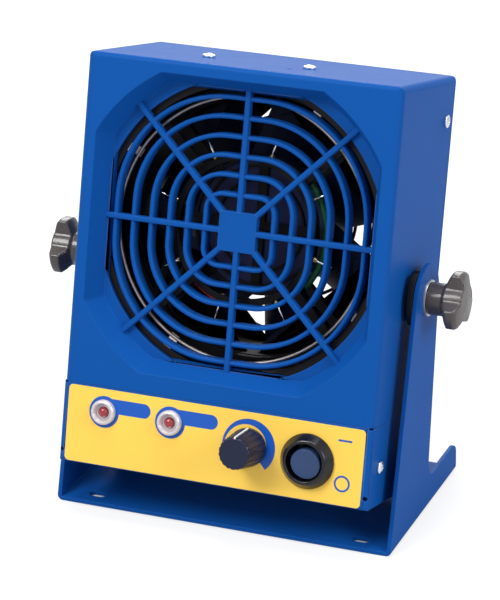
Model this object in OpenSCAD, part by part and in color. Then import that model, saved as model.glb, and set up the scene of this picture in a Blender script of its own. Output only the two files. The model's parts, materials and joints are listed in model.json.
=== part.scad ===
// Ionizing blower: a tilting fan head on a folded sheet stand.
// The stand rests on Z = 0, X runs to the right, the air outlet faces -Y.
// Head parts are drawn upright in head coordinates: x across, y back from the
// front face, z up from the bottom. in_head() then leans them about the pivots.

/* [Stand] */
// Gap between the head and each arm
side_gap = 5; // [4:0.5:7]
// Front to back length of the base plate
stand_d = 89.5; // [86:0.5:96]
// Sheet thickness of the stand
stand_t = 2; // [1.5:0.25:2.5]
// Outer radius of the stand's two bends
stand_bend_r = 2.5; // [2.5:0.25:4]
// Radius of the rounded arm tops
arm_r = 15; // [13:0.5:17]
// Height of the rear feet
foot_h = 13.8; // [10:0.2:18]
// Height of the pivots above the floor
pivot_z = 103; // [102:0.5:110]
// Distance of the pivots behind the middle of the base plate
pivot_y = 3.15; // [0:0.05:6]
// Width of the base slots
slot_w = 4.5; // [4:0.1:5.5]
// End to end length of the base slots
slot_l = 8; // [6:0.5:10]
// Slot pitch across the base
slot_pitch_x = 126; // [110:1:132]
// Slot pitch from front to back
slot_pitch_y = 74; // [60:1:76]

/* [Head] */
// Width of the head
head_w = 145; // [143:0.5:146]
// Height of the head
head_h = 182.5; // [181:0.5:186]
// Depth of the head
head_d = 76; // [76:0.5:80]
// Wall thickness of covers and control panel
wall = 2; // [1.8:0.1:2.4]
// Radius of the upright edges of the covers
edge_r = 4; // [3:0.5:5]
// Radius of the edges along the top sides
top_side_r = 3.5; // [2:0.5:4]
// Radius of the top front and top rear edges
top_edge_r = 2.5; // [2:0.5:4]
// Depth of the rear cover's rim
rear_rim = 5; // [4:0.5:6]
// Height of the pivots above the bottom of the head
head_pivot_h = 89.2; // [88:0.2:91]
// Depth of the pivots behind the front face
head_pivot_d = 38.1; // [36:0.1:40]
// Backward lean of the head as it stands
lean = 15; // [0:1:30]

/* [Outlet grille] */
// Distance of the fan axis below the top of the head
fan_drop = 71.8; // [71.2:0.1:72.4]
// Width of the face beside the recess
face_rim = 6.5; // [5.5:0.5:7.5]
// Reach of the recess's rounded corners past its flats
recess_corner = 9.7; // [8:0.1:11]
// Depth of the recess floor
recess_depth = 11; // [9:0.5:12]
// Inward slope of the recess wall for each unit of depth
recess_slope = 0.45; // [0.4:0.05:0.5]
// Inset of the air opening from the flats of the recess
opening_inset = 0; // [0:0.1:0.6]
// Number of grille rings
ring_count = 6; // [4:1:6]
// Half the width of the smallest ring
ring_first = 15.8; // [15:0.2:16.6]
// Pitch of the rings
ring_pitch = 8.4; // [8:0.02:8.44]
// Half side of the square whose rounded outline the rings follow
ring_square = 8.4; // [7:0.2:9]
// Width of the rings
ring_w = 2; // [1.6:0.1:2.4]
// Depth of the rings
ring_d = 5.5; // [4:0.5:6]
// Width of the spokes
spoke_w = 2.4; // [2:0.1:3]
// Side of the square in the middle of the grille
grille_hub = 17.4; // [16:0.2:19]

/* [Control panel] */
// Height of the control panel
panel_h = 36.2; // [35.5:0.1:37]
// Depth of the panel's side flanges
panel_side_d = 21; // [18:1:22]
// Depth of the panel's bottom flange
panel_foot_d = 14; // [10:1:16]
// Height of the two warning lamps above the bottom of the head
lamp_h = 25; // [24:0.5:25.5]
// Distance of the first lamp from the middle
lamp_1_x = -52; // [-53:0.5:-50]
// Distance of the second lamp from the middle
lamp_2_x = -20.5; // [-22:0.5:-18]
// Distance of the flow knob from the middle
knob_x = 16.8; // [15:0.1:18]
// Height of the flow knob above the bottom of the head
knob_h = 20; // [18:0.5:21]
// Distance of the power switch from the middle
switch_x = 44.2; // [43:0.1:45]
// Height of the power switch above the bottom of the head
switch_h = 18; // [17:0.5:19]
// Swing of the rocker from end to end
rocker_swing = 20; // [14:1:22]

/* [Fan] */
// Outer side of the square fan frame
fan_side = 119; // [118:0.5:119.5]
// Depth of the fan frame
fan_d = 38; // [36:0.5:38]
// Pitch of the fan's fixing holes
fan_hole_pitch = 105; // [104.8:0.1:105]
// Radius of the fan's bore
fan_bore_r = 57.5; // [57:0.1:57.6]
// Radius of the rotor hub
hub_r = 29.5; // [26:0.5:30]
// Number of fan blades
blade_count = 7; // [5:1:7]
// Pitch angle of the blades
blade_angle = 42; // [38:1:46]

/* [Ionizer] */
// Number of emitter needles
needle_count = 8; // [4:1:8]
// Angle of the first needle
needle_first_a = 29.5; // [26:0.5:33]
// Inner radius of the emitter ring
emitter_ring_r = 30.5; // [28:0.5:31]
// Distance of the earthed wire ring inside the air tube
earth_inset = 4.8; // [4.6:0.1:5]

/* [Clamp knobs] */
// Radius over the lobes of the clamp knobs
clamp_r = 13.4; // [12:0.2:15]
// Width of each lobe
lobe_w = 10.4; // [9:0.2:12]
// Radius of the clamp studs
stud_r = 2.5; // [2:0.5:2.5]

/* [Hidden] */
$fn = 64;
eps = 0.01;                              // overshoot of cutting shapes
half_w = head_w / 2;
stand_w = head_w + 2 * (side_gap + stand_t);
cover_d = head_d - rear_rim;
fan_h = head_h - fan_drop;
recess_half = half_w - face_rim;
recess_r = recess_half + recess_corner;
opening_r = recess_half - opening_inset;
in_x = half_w - wall;                    // inner face of the side walls
in_back = head_d - wall;                 // inner face of the rear cover
arm_in_x = stand_w / 2 - stand_t;        // inner face of the stand's arms
fillet_r = 8;                            // between arms and rear feet
floor_t = 2.5;                           // thickness of the recess floor
floor_back = recess_depth + floor_t;
ring_y = 9.5;                            // front of the grille rings
spoke_y = 8.8;                           // front of the spokes, proud of the rings
spoke_d = 3.5;
seat_gap = 0.25;                         // thickness of the overlay
chassis_t = 1.5;
chassis_z = 3.5;                         // top of the chassis plate
cheek_x = in_x - chassis_t;              // inner face of the chassis cheeks
fan_y = in_back - fan_d;                 // front face of the fan
flange_t = 4.5;                          // fan flange thickness
needle_y = 19.5;                         // depth of the emitter needles
guard_wire_r = 0.95;                     // radius of the rear guard's loops
guard_reach = 57;                        // reach of its crossed bars
motor_r = 31;
cup_r = hub_r - 2;                       // inner radius of the rotor cup
glue_gap = 0.05;                         // between the cup and its magnet
rotor_a = -18.4;                         // the rotor's turn as it stands
camber_r = 45;                           // camber radius of the blades
blade_t = 1.4;
blade_d = 21;                            // depth of the blades along the axis
blade_mid = 15;                          // their middle behind the front of the hub
tube_r = opening_r - 3;                  // inner radius of the emitter carrier
tube_t = 1.2;
earth_ring_r = tube_r - earth_inset;
lead_y = 24;                             // depth of the two leads behind the face
lead_r = emitter_ring_r + 5.1;           // radius of their curved runs
lead_out_r = tube_r + tube_t + 3.8;      // reach of their straight runs
side_screw_y = 62;
side_screw_zs = [27, head_h - 19];
panel_screw_y = 11.5;
panel_screw_z = 17.6;
top_screw_xs = [-27, 20];
top_screw_y = 28;
trimmer_x = 14;
trimmer_y = 19.5;
board_z = head_h - 7.5;                  // underside of the balance board
board_t = 1.4;
main_x = cheek_x - 7;                    // half width of the main board
main_front = 28;
main_back = in_back - 6;
main_top = 8.6;                          // its upper face
module_top = panel_h - 0.2;              // top of the high-voltage module
fan_hole = fan_hole_pitch / 2;
m3_r = 1.5;
m4_r = 2;
inlet_x = -44;
inlet_z = 24;
fuse_x = -14;
fuse_z = 24;
knob_face = 18;                          // front of the flow knob
clamp_x = stand_w / 2 + 1.2;             // seat of the clamp knobs on their washers

blue = [0.07, 0.27, 0.62];
yellow = [0.98, 0.84, 0.28];
black = [0.05, 0.05, 0.07];
navy = [0.11, 0.12, 0.22];
chrome = [0.82, 0.83, 0.85];
steel = [0.6, 0.61, 0.63];
brass = [0.78, 0.6, 0.3];
copper = [0.72, 0.4, 0.22];
pcb = [0.08, 0.35, 0.18];

// ---------------------------------------------------------------- placing

// Leans head coordinates back about the two pivots.
module in_head()
    translate([0, pivot_y, pivot_z]) rotate([-lean, 0, 0])
        translate([0, -head_pivot_d, -head_pivot_h]) children();

// Fan axis: local z runs to the back, starting at depth y.
module on_axis(y = 0)
    translate([0, y, fan_h]) rotate([-90, 0, 0]) children();

// Repeats children around the fan axis, at angles seen from the front.
module around(count, first = 0)
    for (i = [0 : count - 1]) rotate([0, 0, -(first + i * 360 / count)]) children();

// The fan's four fixing holes.
module at_fan_holes(y = 0)
    for (sx = [-1, 1], sz = [-1, 1])
        translate([sx * fan_hole, y, fan_h + sz * fan_hole]) rotate([-90, 0, 0]) children();

// A spot on the front face: local z points out to the front, local y up.
module on_panel(x, z) translate([x, 0, z]) rotate([90, 0, 0]) children();

// A slab cut from a front view outline, from depth y back through t.
module slab(y, t) translate([0, y + t, 0]) rotate([90, 0, 0]) linear_extrude(t) children();

// A prism cut from a side view outline (y, z), centred on x = 0.
module side_prism(w) translate([-w / 2, 0, 0]) rotate([90, 0, 90]) linear_extrude(w) children();

// Both side faces: local z points outward.
module on_sides(x, y, z)
    for (s = [-1, 1]) translate([s * x, y, z]) rotate([0, s * 90, 0]) children();

module both_sides() for (s = [0, 1]) mirror([s, 0, 0]) children();

// ---------------------------------------------------------------- outlines

module box_2d(x0, y0, x1, y1) translate([x0, y0]) square([x1 - x0, y1 - y0]);

module round_box_2d(w, h, r) {
    square([w - 2 * r, h], center = true);
    square([w, h - 2 * r], center = true);
    for (sx = [-1, 1], sy = [-1, 1]) translate([sx * (w / 2 - r), sy * (h / 2 - r)]) circle(r);
}

// Waste at a corner that is to be rounded; sx and sy point to the corner.
module corner_2d(x, y, sx, sy, r)
    translate([x, y]) scale_sign(sx, sy) difference() {
        translate([-r, -r]) square([r + 1, r + 1]);
        translate([-r, -r]) circle(r);
    }

module scale_sign(sx, sy) mirror([sx < 0 ? 1 : 0, 0]) mirror([0, sy < 0 ? 1 : 0]) children();

module slot_2d(w, l) {
    square([l - w, w], center = true);
    for (s = [-1, 1]) translate([s * (l - w) / 2, 0]) circle(w / 2);
}

// ---------------------------------------------------------------- hardware

// Pan head screw, head above z = 0 and shank below, with a cross recess.
module pan_screw(r, shank) {
    head_r = r * 1.93;
    head_t = r * 1.3;
    difference() {
        intersection() {
            cylinder(h = head_t, r = head_r);
            translate([0, 0, head_t - 2.2 * head_r]) sphere(2.2 * head_r);
        }
        for (a = [0, 90]) rotate([0, 0, a]) translate([-head_r / 2, -r / 5, head_t * 0.4])
            cube([head_r, r * 0.4, head_t]);
    }
    translate([0, 0, -shank]) cylinder(h = shank + eps, r = r);
}

module hex_nut(flats, t, bore_r)
    difference() {
        cylinder(h = t, r = flats / sqrt(3), $fn = 6);
        translate([0, 0, -1]) cylinder(h = t + 2, r = bore_r);
    }

module tube(h, r_out, r_in)
    difference() {
        cylinder(h = h, r = r_out);
        translate([0, 0, -1]) cylinder(h = h + 2, r = r_in);
    }

module wire_ring(r, wire_r) rotate_extrude() translate([r, 0]) circle(wire_r, $fn = 24);

// ---------------------------------------------------------------- stand

// Side view of the stand: arms, rear feet and the base plate's edge.
module stand_outline_2d() {
    pivot = [pivot_y, pivot_z];
    front = [-stand_d / 2, stand_bend_r];
    heel = [pivot_y + 1.3, foot_h];
    front_reach = pivot - front;
    rear_reach = pivot - heel;
    front_a = atan2(front_reach.y, front_reach.x) + asin(arm_r / norm(front_reach));
    rear_a = atan2(rear_reach.y, rear_reach.x) - asin(arm_r / norm(rear_reach));
    front_end = front + sqrt(pow(norm(front_reach), 2) - pow(arm_r, 2)) * [cos(front_a), sin(front_a)];
    rear_end = heel + sqrt(pow(norm(rear_reach), 2) - pow(arm_r, 2)) * [cos(rear_a), sin(rear_a)];
    fillet_mid = heel + fillet_r / sin(rear_a / 2) * [cos(rear_a / 2), sin(rear_a / 2)];
    fillet_run = fillet_r / tan(rear_a / 2);
    top = pivot_z + arm_r + 1;
    difference() {
        polygon([[front.x, 0], front, front_end, [front_end.x, top], [rear_end.x, top], rear_end,
            heel + fillet_run * [cos(rear_a), sin(rear_a)], fillet_mid,
            heel + [fillet_run, 0], [stand_d / 2, foot_h], [stand_d / 2, 0]]);
        translate(fillet_mid) circle(fillet_r);
        corner_2d(stand_d / 2, foot_h, 1, 1, 4.5);
        difference() {
            polygon([front_end, [front_end.x - 1, front_end.y], [front_end.x - 1, top + 1],
                [rear_end.x + 1, top + 1], [rear_end.x + 1, rear_end.y], rear_end, pivot]);
            translate(pivot) circle(arm_r);
        }
    }
}

// End view of the folded sheet.
module stand_sheet_2d() {
    in_r = stand_bend_r - stand_t;
    top = pivot_z + arm_r + 1;
    difference() {
        union() {
            box_2d(-stand_w / 2, stand_bend_r, stand_w / 2, top);
            box_2d(stand_bend_r - stand_w / 2, 0, stand_w / 2 - stand_bend_r, stand_bend_r);
            for (s = [-1, 1]) translate([s * (stand_w / 2 - stand_bend_r), stand_bend_r])
                circle(stand_bend_r);
        }
        box_2d(-arm_in_x, stand_bend_r, arm_in_x, top + 1);
        box_2d(in_r - arm_in_x, stand_t, arm_in_x - in_r, top);
        for (s = [-1, 1]) translate([s * (arm_in_x - in_r), stand_bend_r]) circle(in_r);
    }
}

module stand() color(blue) difference() {
    intersection() {
        translate([0, stand_d / 2, 0]) rotate([90, 0, 0]) linear_extrude(stand_d) stand_sheet_2d();
        side_prism(stand_w + 2) stand_outline_2d();
    }
    for (sx = [-1, 1], sy = [-1, 1])
        translate([sx * slot_pitch_x / 2, sy * slot_pitch_y / 2, -1])
            linear_extrude(stand_t + 2) slot_2d(slot_w, slot_l);
    translate([0, pivot_y, pivot_z]) rotate([0, 90, 0])
        cylinder(h = stand_w + 2, r = stud_r + 0.3, center = true);
}

// ---------------------------------------------------------------- covers

// The closed outer body of both covers.
module cover_body() intersection() {
    linear_extrude(head_h) difference() {
        box_2d(-half_w, 0, half_w, head_d);
        for (s = [-1, 1]) {
            corner_2d(s * half_w, 0, s, -1, edge_r);
            corner_2d(s * half_w, head_d, s, 1, edge_r);
        }
    }
    slab(-1, head_d + 2) difference() {
        box_2d(-half_w, 0, half_w, head_h);
        for (s = [-1, 1]) corner_2d(s * half_w, head_h, s, 1, top_side_r);
    }
    side_prism(head_w + 2) difference() {
        box_2d(0, 0, head_d, head_h);
        corner_2d(0, head_h, -1, 1, top_edge_r);
        corner_2d(head_d, head_h, 1, 1, top_edge_r);
    }
}

// Tapered recess, or the same shape grown outward, between two depths.
module recess(grow, y0, y1) {
    r0 = recess_r + grow - recess_slope * y0;
    r1 = recess_r + grow - recess_slope * y1;
    h0 = recess_half + grow - recess_slope * y0;
    h1 = recess_half + grow - recess_slope * y1;
    intersection() {
        on_axis(y0) cylinder(h = y1 - y0, r1 = r0, r2 = r1);
        side_prism(2 * head_w) translate([0, fan_h])
            polygon([[y0, -h0], [y1, -h1], [y1, h1], [y0, h0]]);
        linear_extrude(2 * head_h) polygon([[-h0, y0], [-h1, y1], [h1, y1], [h0, y0]]);
    }
}

module ring_2d(reach) round_box_2d(2 * reach, 2 * reach, reach - ring_square);

// Grille: rounded square rings, eight spokes up to the recess wall and a plain square.
module grille() {
    slab(ring_y, ring_d) translate([0, fan_h]) for (i = [0 : ring_count - 1]) {
        reach = ring_first + i * ring_pitch;
        difference() {
            ring_2d(reach + ring_w / 2);
            ring_2d(reach - ring_w / 2);
        }
    }
    intersection() {
        on_axis(spoke_y) around(8) translate([0, -spoke_w / 2, 0]) cube([recess_r, spoke_w, spoke_d]);
        recess(0.3, spoke_y - 1, floor_back);
    }
    translate([-grille_hub / 2, spoke_y - 0.4, fan_h - grille_hub / 2])
        cube([grille_hub, spoke_d + 1, grille_hub]);
}

module front_cover() color(blue) in_head() {
    difference() {
        union() {
            difference() {
                cover_body();
                box_at([-in_x, wall, -1], [in_x, head_d + 1, head_h - wall]);
            }
            recess(2.2, wall / 2, floor_back);
        }
        recess(0, -1, recess_depth);
        box_at([-head_w, cover_d, -1], [head_w, head_d + 1, head_h + 1]);
        box_at([-head_w, -1, -1], [head_w, panel_side_d, panel_h]);
        intersection() {
            on_axis(recess_depth - 1) cylinder(h = floor_t + 2, r = opening_r);
            recess(0, recess_depth - 1, floor_back + 0.5);
        }
        on_sides(half_w - wall - 1, head_pivot_d, head_pivot_h) cylinder(h = wall + 2, r = stud_r + 0.5);
        for (z = side_screw_zs) on_sides(half_w - wall - 1, side_screw_y, z)
            cylinder(h = wall + 2, r = m3_r + 0.2);
        for (x = top_screw_xs) translate([x, top_screw_y, head_h - wall - 1])
            cylinder(h = wall + 2, r = m3_r + 0.2);
        translate([trimmer_x, trimmer_y, head_h - wall - 1]) cylinder(h = wall + 2, r = 1.3);
    }
    grille();
}

module box_at(low, high) translate(low) cube(high - low);

module rear_cover() color(blue) in_head() difference() {
    union() {
        difference() {
            cover_body();
            box_at([-head_w, -1, -1], [head_w, cover_d, head_h + 1]);
            box_at([-in_x, cover_d - 1, wall], [in_x, in_back, head_h - wall]);
        }
        for (s = [-1, 1], z = side_screw_zs) translate([s * (in_x - 0.9), 0, z])
            box_at([-0.9, side_screw_y - 6, -7], [0.9, in_back + eps, 7]);
    }
    on_axis(cover_d) cylinder(h = 10, r = fan_bore_r);
    at_fan_holes(cover_d) cylinder(h = 10, r = m4_r + 0.2);
    for (z = side_screw_zs) on_sides(in_x - 3, side_screw_y, z) cylinder(h = 5, r = m3_r);
    slab(cover_d, 10) translate([inlet_x, inlet_z]) inlet_2d(0.1);
    translate([fuse_x, cover_d, fuse_z]) rotate([-90, 0, 0]) cylinder(h = 10, r = 6.1);
}

module inlet_2d(grow = 0) square([27 + 2 * grow, 20 + 2 * grow], center = true);

module chassis() color(steel) in_head() difference() {
    union() {
        box_at([-in_x, wall, chassis_z - chassis_t], [in_x, in_back, chassis_z]);
        box_at([-50, in_back - chassis_t, chassis_z - eps], [50, in_back, 10]);
        both_sides() {
            box_at([cheek_x, 4, chassis_z - eps], [in_x, 19, 33]);
            box_at([cheek_x, 24, chassis_z - eps], [in_x, 52, head_pivot_h]);
            translate([cheek_x, head_pivot_d, head_pivot_h]) rotate([0, 90, 0])
                cylinder(h = chassis_t, r = 13.9);
        }
    }
    on_sides(cheek_x - 1, head_pivot_d, head_pivot_h) cylinder(h = 5, r = stud_r + 0.3);
    on_sides(cheek_x - 1, panel_screw_y, panel_screw_z) cylinder(h = 5, r = m3_r);
}

// ---------------------------------------------------------------- control panel

// Folded tray: front strip, side flanges and a bottom flange.
module control_panel() color(blue) in_head() difference() {
    intersection() {
        linear_extrude(panel_h) difference() {
            box_2d(-half_w, 0, half_w, panel_side_d);
            for (s = [-1, 1]) corner_2d(s * half_w, 0, s, -1, 2.5);
        }
        side_prism(head_w + 2) difference() {
            box_2d(0, 0, panel_side_d, panel_h);
            corner_2d(0, 0, -1, -1, 2.5);
        }
    }
    box_at([-in_x, wall, wall], [in_x, panel_side_d + 1, panel_h + 1]);
    box_at([-in_x, panel_foot_d, -1], [in_x, panel_side_d + 1, panel_h]);
    for (s = [-1, 1], z = [5.3, panel_h]) on_panel(s * (half_w - 1.3), z)
        cylinder(h = 2 * wall + 1, r = 1, center = true);
    for (x = [lamp_1_x, lamp_2_x]) on_panel(x, lamp_h) panel_hole(4);
    on_panel(knob_x, knob_h) panel_hole(3.6);
    on_panel(switch_x, switch_h) panel_hole(10);
    on_sides(in_x - 1, panel_screw_y, panel_screw_z) cylinder(h = wall + 2, r = m3_r + 0.2);
}

module panel_hole(r) cylinder(h = 4 * wall, r = r, center = true);

module panel_overlay() color(yellow) in_head() difference() {
    slab(-seat_gap, seat_gap) translate([0, panel_h / 2]) round_box_2d(139, 34.3, 2);
    for (x = [lamp_1_x, lamp_2_x]) on_panel(x, lamp_h) panel_hole(4);
    on_panel(knob_x, knob_h) panel_hole(3.6);
    on_panel(switch_x, switch_h) panel_hole(10);
}

module lamp_bezels() color(chrome) in_head() for (x = [lamp_1_x, lamp_2_x])
    on_panel(x, lamp_h) rotate_extrude() union() {
        polygon([[2.55, -9], [3.9, -9], [3.9, seat_gap], [5.6, seat_gap], [5.6, 1.6], [4.6, 3.1],
            [4.2, 3.1], [3, 0.9], [2.55, 0.9]]);
        intersection() {
            translate([4.1, 1.6]) circle(1.5);
            box_2d(4.2, 1, 5.6, 3.1);
        }
    }

module warning_lamps() color([0.75, 0.08, 0.08]) in_head() for (x = [lamp_1_x, lamp_2_x])
    on_panel(x, lamp_h) rotate_extrude() intersection() {
        union() {
            box_2d(0, -7, 2.5, 0.2);
            translate([0, 0.2]) circle(2.5);
        }
        box_2d(0, -7, 2.5, 3);
    }

module lamp_nuts() color(steel) in_head() for (x = [lamp_1_x, lamp_2_x])
    on_panel(x, lamp_h) translate([0, 0, -wall - 2]) hex_nut(10.5, 2, 3.9);

// Pot body behind the panel, its threaded bushing and three solder tags.
module potentiometer() color(steel) in_head() on_panel(knob_x, knob_h) difference() {
    union() {
        translate([0, 0, -wall - 9]) cylinder(h = 9, r = 8.2);
        translate([0, 0, -wall - eps]) cylinder(h = wall + 5, r = 3.5);
        for (i = [-1 : 1]) translate([i * 4 - 0.7, -12, -wall - 7]) cube([1.4, 5, 0.8]);
    }
    translate([0, 0, -wall - 7]) cylinder(h = 20, r = 3.05);
}

module pot_nut() color(chrome) in_head() on_panel(knob_x, knob_h)
    translate([0, 0, seat_gap]) hex_nut(10, 2.2, 3.5);

// Round snap-in housing with a conical bezel.
module switch_housing() color(black) in_head() on_panel(switch_x, switch_h) difference() {
    union() {
        rotate_extrude() polygon([[0, seat_gap], [12.2, seat_gap], [12.2, 1.1], [9.7, 4.8], [9, 5.1], [0, 5.1]]);
        translate([0, 0, -20]) cylinder(h = 20 + seat_gap + eps, r = 9.9);
    }
    translate([0, 0, -9]) cylinder(h = 20, r = 8.3);
    translate([0, 0, -3]) rotate([0, 90, 0]) cylinder(h = 18.4, r = 1.25, center = true);
}

module switch_terminals() color(brass) in_head() on_panel(switch_x, switch_h)
    for (x = [-5.5, 0, 5.5]) translate([x - 0.4, -2.4, -27]) cube([0.8, 4.8, 7]);

// Rocker with two dished halves; at rest its lower half is pressed in.
module rocker() color([0.16, 0.22, 0.36]) in_head() on_panel(switch_x, switch_h)
    translate([0, 0, -3]) rotate([rocker_swing / 2, 0, 0]) {
        difference() {
            translate([0, 0, -4]) cylinder(h = 11, r = 6.9);
            for (s = [0, 1]) mirror([0, s, 0]) rotate([9, 0, 0]) translate([-10, -1, 5.6])
                cube([20, 20, 10]);
        }
        rotate([0, 90, 0]) cylinder(h = 17.6, r = 1.2, center = true);
    }

// Fluted knob; its cavity clears the pot nut.
module flow_knob() color(black) in_head() on_panel(knob_x, knob_h) difference() {
    rotate_extrude() polygon([[0, 1], [8.5, 1], [8.5, 3], [7.1, knob_face - 0.6],
        [6.5, knob_face], [0, knob_face]]);
    translate([0, 0, -eps]) cylinder(h = 5.5, r = 6.6);
    cylinder(h = 14, r = 3);
    around(18) translate([8.7, 0, 3.4]) rotate([0, -5.3, 0]) cylinder(h = 20, r = 0.7);
    pointer_block();
}

// Slanted bar along the top of the knob, shared by its groove and its insert.
module pointer_block()
    translate([0, 8.5, 3]) rotate([5.3, 0, 0]) translate([-0.6, -0.8, 0]) cube([1.2, 1.1, 15.1]);

module knob_pointer() color("white") in_head() on_panel(knob_x, knob_h) intersection() {
    pointer_block();
    cylinder(h = knob_face, r = 10);
}

module pot_shaft() color(steel) in_head() on_panel(knob_x, knob_h)
    translate([0, 0, -wall - 6.5]) cylinder(h = wall + 20.5, r = 3);

// ---------------------------------------------------------------- ionizer

// Moulded carrier: air tube with a front flange, corner lugs, four arms and
// the ring that holds the needle sockets.
module emitter_carrier() color(black) in_head() difference() {
    union() {
        intersection() {
            on_axis(floor_back) tube(2, opening_r + 3, tube_r);
            box_at([0.5 - in_x, 0, panel_h], [in_x - 0.5, in_back, head_h - wall - 0.5]);
        }
        on_axis(floor_back) tube(fan_y - floor_back, tube_r + tube_t, tube_r);
        difference() {
            union() {
                slab(fan_y - 3, 3) translate([0, fan_h]) round_box_2d(fan_side, fan_side, 4);
                on_axis(fan_y - 3) cylinder(h = 3, r = tube_r + tube_t);
            }
            on_axis(fan_y - 4) cylinder(h = 5, r = tube_r - 5);
        }
        on_axis(17) tube(5, emitter_ring_r + 3, emitter_ring_r);
        on_axis(19) around(4, 45) translate([emitter_ring_r + 2, -2.5, 0])
            cube([tube_r - emitter_ring_r - 1, 5, 3]);
    }
    at_fan_holes(fan_y - 4) cylinder(h = 5, r = m4_r);
    on_axis(needle_y) around(needle_count, needle_first_a) rotate([0, 90, 0])
        translate([0, 0, emitter_ring_r - 1]) cylinder(h = 6, r = 1.2);
    for (a = [45, 135]) on_axis(lead_y) rotate([0, 0, a]) rotate([0, 90, 0])
        cylinder(h = tube_r + 4, r = 1.5);
}

module needle_sockets() color(brass) in_head() on_axis(needle_y) around(needle_count, needle_first_a)
    rotate([0, 90, 0]) translate([0, 0, emitter_ring_r]) difference() {
        cylinder(h = 4.5, r = 1.2);
        translate([0, 0, 1]) cylinder(h = 5, r = 0.5);
    }

module emitter_needles() color(chrome) in_head() on_axis(needle_y) around(needle_count, needle_first_a)
    rotate([0, 90, 0]) translate([0, 0, emitter_ring_r + 1]) {
        cylinder(h = 7, r = 0.5);
        translate([0, 0, 7]) cylinder(h = 4, r1 = 0.5, r2 = 0.05);
    }

module earth_ring() color(chrome) in_head() on_axis(ring_y + ring_d + 0.75)
    wire_ring(earth_ring_r, 0.75);

// Spring clips that hold the earthed ring to the back of the recess floor.
module earth_clips() color(brass) in_head() on_axis(ring_y + ring_d) around(4, 61) {
    translate([earth_ring_r - 1, -2, 1.5]) cube([tube_r - earth_ring_r + 0.95, 4, 0.5]);
    translate([tube_r - 0.65, -2, -1.5]) cube([0.6, 4, 3.5]);
}

// A lead: a curved run behind the emitter ring, then out, down and back.
// sx is the side that it runs down, a0 and a1 bound the curved run.
module lead(sx, a0, a1, wire_r, down_z, back_y) {
    bend_r = wire_r * 1.08;
    corner = [sx * lead_out_r * cos(45), lead_y, fan_h - lead_out_r * sin(45)];
    on_axis(lead_y) {
        rotate([0, 0, a0]) rotate_extrude(angle = a1 - a0) translate([lead_r, 0]) circle(wire_r, $fn = 24);
        rotate([0, 0, sx > 0 ? 45 : 135]) rotate([0, 90, 0]) translate([0, 0, lead_r])
            cylinder(h = lead_out_r - lead_r, r = wire_r);
    }
    translate(corner) sphere(bend_r);
    translate([corner.x, lead_y, down_z]) cylinder(h = corner.z - down_z, r = wire_r);
    translate([corner.x, lead_y, down_z]) sphere(bend_r);
    translate([corner.x, lead_y, down_z]) rotate([-90, 0, 0]) cylinder(h = back_y - lead_y, r = wire_r);
}

module high_voltage_lead() color([0.08, 0.4, 0.2]) in_head() lead(1, -40, 45, 1.5, 32, 33);

module sensing_lead() color([0.8, 0.1, 0.1]) in_head() lead(-1, 112, 135, 0.8, 9.4, 31);

// ---------------------------------------------------------------- fan

module fan_frame() color(black) in_head() {
    difference() {
        union() {
            for (y = [fan_y, in_back - flange_t]) slab(y, flange_t)
                translate([0, fan_h]) round_box_2d(fan_side, fan_side, 4);
            on_axis(fan_y + 1) cylinder(h = fan_d - 2, r = fan_side / 2);
        }
        on_axis(fan_y - 1) cylinder(h = fan_d + 2, r = fan_bore_r);
        at_fan_holes(fan_y - 1) cylinder(h = fan_d + 2, r = m4_r + 0.15);
    }
    on_axis(fan_y) {
        difference() {
            around(4, 45) translate([motor_r - 2, -2.2, 0]) cube([fan_bore_r - motor_r + 2.5, 4.4, 4]);
            translate([0, 0, 1.5]) cylinder(h = 4, r = motor_r);
        }
        tube(1.5, motor_r, motor_r - 1.4);
        around(4) translate([0, -2.2, 0]) cube([motor_r - 0.7, 4.4, 1.5]);
        for (r = [20.4, 26.6]) tube(1.5, r + 0.6, r - 0.6);
    }
}

// Motor plate with the bearing tube behind it.
module motor_plate() color(navy) in_head() on_axis(fan_y + 1.5) {
    cylinder(h = 2, r = motor_r);
    translate([0, 0, 2 - eps]) tube(22, 5.5, 4);
}

module fan_driver_board() color(pcb) in_head() on_axis(fan_y + 3.5) tube(1.6, 25, 6);

module fan_stator() color(steel) in_head() on_axis(fan_y + 10) {
    tube(14, 10, 5.5);
    difference() {
        around(8) translate([9.5, -1.5, 0]) cube([15, 3, 14]);
        translate([0, 0, -1]) tube(16, 40, 24.4);
    }
    difference() {
        tube(14, 24.8, 22.8);
        around(8, 22.5) translate([15, -1, -1]) cube([15, 2, 16]);
    }
}

module fan_coils() color(copper) in_head() on_axis(fan_y + 9.2) around(8)
    translate([11.5, 0, 0]) difference() {
        translate([0, -3.2, 0]) cube([9.5, 6.4, 15.6]);
        translate([-1, -1.5, 0.8]) cube([12, 3, 14]);
    }

module fan_bearings() color(chrome) in_head() for (y = [6, 20]) on_axis(fan_y + y) tube(4, 4, 1.55);

module fan_shaft() color(steel) in_head() on_axis(fan_y + 4.5) cylinder(h = 31, r = 1.5);

module fan_magnet() color([0.25, 0.25, 0.27]) in_head() on_axis(fan_y + 8) tube(18, cup_r - glue_gap, 25.6);

// Hub cup, open to the front, with cambered blades around it.
module fan_rotor() color(navy) in_head() on_axis(fan_y + 6) rotate([0, 0, rotor_a]) {
    difference() {
        cylinder(h = 30, r = hub_r);
        translate([0, 0, -1]) cylinder(h = 29, r = cup_r);
        cylinder(h = 29.5, r = 1.5);
    }
    translate([0, 0, 20]) tube(8.5, 4, 1.5);
    around(blade_count) blade();
}

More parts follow.
